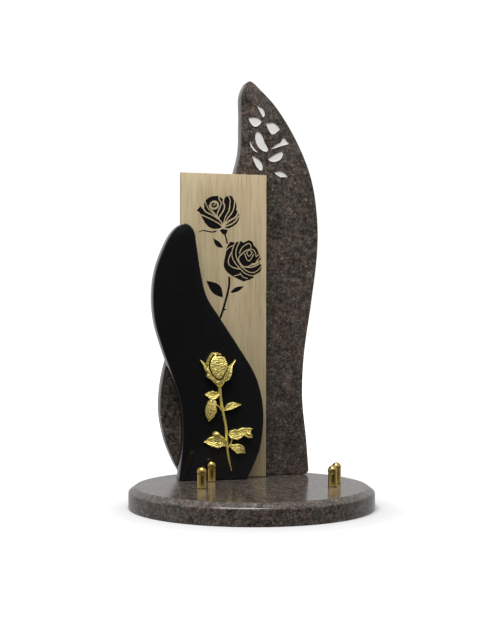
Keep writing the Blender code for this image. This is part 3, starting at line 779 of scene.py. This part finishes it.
def black_slab(solid, granite):
    """The low slab, with a wider soft arris than the tall one."""
    low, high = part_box("black_slab")
    outline = closed_curve(outlines_at(solid, high.y)[0], OUTLINE_STEP)
    finish_piece("black_granite_slab", slab(outline, low.y, high.y, BLACK_ARRIS),
                 [granite], "black_granite", ["black_slab"])


def rose_place(across, up):
    """A point of the cast rose on the black slab, as (x, z)."""
    return Vector((ROSE_TIP_X + across * ROSE_HEIGHT, ROSE_TIP_Z + up * ROSE_HEIGHT))


def middle_line(stations, growth=0.0):
    """Even steps along a blade: centre, direction across it, width and thickness."""
    line = [rose_place(across, up) for across, up, _, _ in stations]
    sizes = [Vector((width * ROSE_HEIGHT + growth, rise * ROSE_HEIGHT + growth))
             for _, _, width, rise in stations]
    last = len(line) - 1
    line[0] += (line[0] - line[1]).normalized() * growth / 2
    line[last] += (line[last] - line[last - 1]).normalized() * growth / 2
    centres = []
    shapes = []
    for index, span in enumerate(spans(line, [False] * len(line), False)):
        slope_in = (sizes[index + 1] - sizes[max(index - 1, 0)]) / 2
        slope_out = (sizes[min(index + 2, last)] - sizes[index]) / 2
        size_span = (sizes[index], sizes[index] + slope_in / 3,
                     sizes[index + 1] - slope_out / 3, sizes[index + 1])
        pieces = max(3, round((span[3] - span[0]).length / ROSE_STEP))
        end = pieces + (index == last - 1)
        centres += [point.xy for point in interpolate_bezier(*span, pieces + 1)[:end]]
        shapes += [size.xy for size in interpolate_bezier(*size_span, pieces + 1)[:end]]
    rows = []
    for index, (centre, shape) in enumerate(zip(centres, shapes)):
        ahead = centres[min(index + 1, len(centres) - 1)]
        behind = centres[max(index - 1, 0)]
        run = (ahead - behind).normalized()
        rows.append((centre, Vector((run.y, -run.x)), shape.x, shape.y))
    return rows


def relief(kind, across, along, point):
    """Height of the cast detail at a place on a blade, in metres."""
    spot = Vector((point.x, 0.0, point.y))
    edge = abs(across)
    rim = RIM_HEIGHT * math.exp(-((edge - 0.86) / 0.10) ** 2)
    if kind == "leaf":
        height, length = LEAF_SKIN
        vein = VEIN_DEPTH * math.exp(-(across / 0.09) ** 2)
        wave = math.sin(math.tau * (along * SIDE_VEINS - edge * SIDE_VEIN_SLANT))
        side = SIDE_VEIN_HEIGHT * wave * (1 - edge)
        return (rim + side - vein + height * noise.noise(spot / length)) * MM
    if kind == "heart":
        height, (wide, high) = HEART_SKIN
        sway = noise.noise(Vector((point.x / (3.2 * MM), 0.0, point.y / (5.0 * MM))))
        ripple = RIPPLE_HEIGHT * math.sin(math.tau * (point.y / (2.2 * MM) + 0.9 * sway))
        dents = noise.noise(Vector((point.x / wide, 5.0, point.y / high)))
        return (ripple + height * dents) * MM
    if kind == "petal":
        height, length = PETAL_SKIN
        return (rim + height * noise.noise(spot / length)) * MM
    height, length = STEM_SKIN
    return height * noise.noise(spot / length) * MM


def cast_blade(kind, stations, back_y, growth=0.0):
    """One closed blade of the casting: a crowned front with a wall round it and a flat back."""
    rows = middle_line(stations, growth)
    bm = bmesh.new()
    bmesh.ops.create_grid(bm, x_segments=ROSE_RIBS, y_segments=len(rows) - 1, size=1.0)
    edge_share = EDGE_SHARE[kind]
    for vert in bm.verts:
        turn = vert.co.x * math.pi / 2
        along = (vert.co.y + 1) / 2
        centre, side, width, rise = rows[round(along * (len(rows) - 1))]
        across = math.sin(turn)
        if kind in UNEVEN_KINDS and not growth:
            spot = Vector((centre.x, math.copysign(1.0, across), centre.y))
            width *= 1 + EDGE_WANDER * noise.noise(spot / WANDER_LENGTH)
        point = centre + side * (across * width / 2)
        crown = max(math.cos(turn), 0.0) ** CROWN_POWER[kind]
        dish = DISH_SHARE[kind] * (1 - across ** 2)
        height = rise * (edge_share + (1 - edge_share) * crown - dish)
        if not growth:
            height += relief(kind, across, along, point) * min(1.0, width / FULL_RELIEF_WIDTH)
        vert.co = (point.x, back_y - height, point.y)
    rim = [edge for edge in bm.edges if edge.is_boundary]
    swept = bmesh.ops.extrude_edge_only(bm, edges=rim)
    lower = [item for item in swept["geom"] if isinstance(item, bmesh.types.BMVert)]
    for vert in lower:
        vert.co.y = back_y
    edges = [item for item in swept["geom"] if isinstance(item, bmesh.types.BMEdge)]
    bmesh.ops.edgeloop_fill(bm, edges=[edge for edge in edges if edge.is_boundary])
    bmesh.ops.recalc_face_normals(bm, faces=bm.faces)
    return bm


def cast_rose(gold, line_shade):
    """The blades grown together into one closed casting, with the heart set in a line whose cut
    faces carry near-black painted shade.
    """
    back_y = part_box("cast_rose")[1].y
    whole = bmesh.new()
    for name, (kind, stations) in ROSE_BLADES.items():
        if kind != "heart":
            blade = finish_piece(name, cast_blade(kind, stations, back_y), [gold], None, [])
            whole.from_mesh(blade.data)
            bpy.data.objects.remove(blade, do_unlink=True)
    rose = finish_piece("gilt_rose", whole, [gold, line_shade], "gilding", ["cast_rose"])
    # The line's cut faces take the near-black painted shade.
    line = heart_line(back_y - HEART_LINE_FLOOR, line_shade)
    combine(rose, line, "DIFFERENCE", CASTING_ANGLE, crossing=True)
    heart = cast_blade("heart", ROSE_BLADES["heart"][1], back_y)
    combine(rose, finish_piece("heart", heart, [gold], None, []), "UNION", CASTING_ANGLE)
    clear_fins(rose, CASTING_ANGLE)


def heart_line(floor_y, line_shade):
    """The cutter that frees the heart: the heart itself, wider by the line and taller."""
    grown = cast_blade("heart", ROSE_BLADES["heart"][1], floor_y, 2 * HEART_GAP)
    front = [vert for vert in grown.verts if vert.co.y < floor_y - FLAT_TOLERANCE]
    bmesh.ops.translate(grown, verts=front, vec=(0.0, -HEART_LINE_REACH, 0.0))
    return finish_piece("heart_line", grown, [line_shade], None, [])


def pin_profile(height, head, foot_z):
    """Foot flange, straight body, a turned neck groove and a domed head."""
    body = PIN_BODY_DIAMETER / 2
    neck_z = height - PIN_HEAD_HEIGHT
    edge = head * PIN_EDGE_SHARE
    profile = [(0.0, 0.0), (edge, 0.0), (head, 0.2 * MM), (head, PIN_FOOT_HEIGHT * 0.6),
               (body, PIN_FOOT_HEIGHT), (body, neck_z - PIN_NECK_HEIGHT),
               (PIN_NECK_DIAMETER / 2, neck_z - PIN_NECK_HEIGHT * 0.6),
               (PIN_NECK_DIAMETER / 2, neck_z), (edge, neck_z + 0.2 * MM),
               (head, neck_z + 0.6 * MM)]
    dome_z = height - head
    for index in range(PIN_DOME_STEPS):
        angle = math.pi / 2 * index / PIN_DOME_STEPS
        profile.append((head * math.cos(angle), dome_z + head * math.sin(angle)))
    profile.append((0.0, height))
    return [(radius, foot_z + rise) for radius, rise in profile]


def pins(metal):
    """The four brass pins, each as high and as wide as its solid."""
    for name in ("pin_left_front", "pin_left_back", "pin_right_front", "pin_right_back"):
        low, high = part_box(name)
        profile = pin_profile(high.z - low.z, (high.x - low.x) / 2, low.z)
        bm = turned(profile, PIN_SIDES, (low.x + high.x) / 2, (low.y + high.y) / 2)
        finish_piece("brass_" + name, bm, [metal], "brass", [name])


def floor():
    """A white paper floor that glows more the farther it lies from the base."""
    bm = bmesh.new()
    bmesh.ops.create_grid(bm, x_segments=1, y_segments=1, size=FLOOR_REACH)
    material, tree, shader = new_material("white paper floor", roughness=0.9,
                                          base_color=linear("#c4c4c4"), emission_color=WHITE)
    place = add_node(tree, "ShaderNodeTexCoord").outputs["Object"]
    nearer = add_node(tree, "ShaderNodeVectorMath", {"operation": "ADD", 1: FLOOR_MIDDLE_SHIFT},
                      {0: place})
    reach = add_node(tree, "ShaderNodeVectorMath", {"operation": "LENGTH"},
                     {0: nearer.outputs["Vector"]})
    stops = [(distance, (level, level, level, 1.0)) for distance, level in FLOOR_GLOW]
    glow = add_node(tree, "ShaderNodeValToRGB", {"stops": stops}, {"Fac": reach.outputs["Value"]})
    tree.links.new(glow.outputs["Color"], shader.inputs["Emission Strength"])
    ground = finish_piece("paper_floor", bm, [material], None, [])
    ground.visible_glossy = False
    ground.visible_diffuse = False


def soft_box():
    """One large soft lamp overhead, in front and to the left."""
    box = bpy.data.lights.new("overhead soft box", "AREA")
    box.shape = "RECTANGLE"
    box.size, box.size_y = LAMP_SIZE
    box.energy = LAMP_POWER
    lamp = bpy.data.objects.new("overhead_soft_box", box)
    lamp.location = LAMP_PLACE
    lamp.rotation_euler = (LAMP_AIM - LAMP_PLACE).to_track_quat("-Z", "Y").to_euler()
    bpy.context.scene.collection.objects.link(lamp)


def studio():
    """A pale room all round, darker behind the camera, with a plain white background."""
    world = bpy.data.worlds.new("studio")
    bpy.context.scene.world = world
    world.use_nodes = True
    tree = world.node_tree
    tree.nodes.clear()
    place = add_node(tree, "ShaderNodeTexCoord").outputs["Generated"]
    way = add_node(tree, "ShaderNodeSeparateXYZ", links={"Vector": place})
    depth = add_node(tree, "ShaderNodeMapRange", {"From Min": -1.0, "From Max": 1.0},
                     {"Value": way.outputs["Y"]})
    room = add_node(tree, "ShaderNodeValToRGB", {"stops": [
        (0.03, linear("#303030")), (0.12, linear("#808080")), (0.32, linear("#8c8c8c")),
        (0.60, linear("#c4c4c4"))]}, {"Fac": depth.outputs["Result"]})
    height = add_node(tree, "ShaderNodeMapRange", {"From Min": -1.0, "From Max": 1.0},
                      {"Value": way.outputs["Z"]})
    steep = add_node(tree, "ShaderNodeValToRGB", {"stops": [
        (0.20, WHITE), (0.42, BLACK), (0.58, BLACK), (0.68, WHITE)]},
        {"Fac": height.outputs["Result"]})
    ends = add_node(tree, "ShaderNodeValToRGB", {"stops": [
        (0.45, linear("#a0a0a0")), (0.55, linear("#e0e0e0"))]}, {"Fac": height.outputs["Result"]})
    walls = add_node(tree, "ShaderNodeMix", {"data_type": "RGBA"},
                     {0: steep.outputs["Color"], 6: room.outputs["Color"],
                      7: ends.outputs["Color"]})
    seen = add_node(tree, "ShaderNodeLightPath").outputs["Is Camera Ray"]
    colour = add_node(tree, "ShaderNodeMix", {"data_type": "RGBA",
                                              7: (BACKGROUND_LEVEL,) * 3 + (1.0,)},
                      {0: seen, 6: walls.outputs[2]})
    back = add_node(tree, "ShaderNodeBackground", {"Strength": 1.0},
                    {"Color": colour.outputs[2]})
    add_node(tree, "ShaderNodeOutputWorld", links={"Surface": back.outputs["Background"]})


def camera():
    """The photo's camera."""
    eye = bpy.data.cameras.new("camera")
    eye.lens = CAMERA_LENS
    eye.sensor_width = 36.0
    seat = bpy.data.objects.new("camera", eye)
    seat.location = CAMERA_PLACE
    turn = Euler((math.pi / 2 + CAMERA_TILT, 0.0, CAMERA_TURN)).to_quaternion()
    seat.rotation_mode = "QUATERNION"
    seat.rotation_quaternion = turn @ Quaternion((0.0, 0.0, 1.0), CAMERA_ROLL)
    bpy.context.scene.collection.objects.link(seat)
    bpy.context.scene.camera = seat


def main():
    """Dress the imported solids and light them."""
    for old in list(bpy.data.objects):
        bpy.data.objects.remove(old, do_unlink=True)
    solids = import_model()["nodes"]
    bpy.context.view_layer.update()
    granite = brown_granite()
    base_disc(granite)
    tall_slab(solids["tall_slab"], granite, white_paint())
    oak_panel(solids["oak_panel"], oak(), black_paint())
    black_slab(solids["black_slab"], black_granite())
    cast_rose(gilding(), heart_line_shade())
    pins(brass())
    floor()
    soft_box()
    studio()
    camera()
    bpy.context.scene.view_settings.view_transform = "Standard"


main()
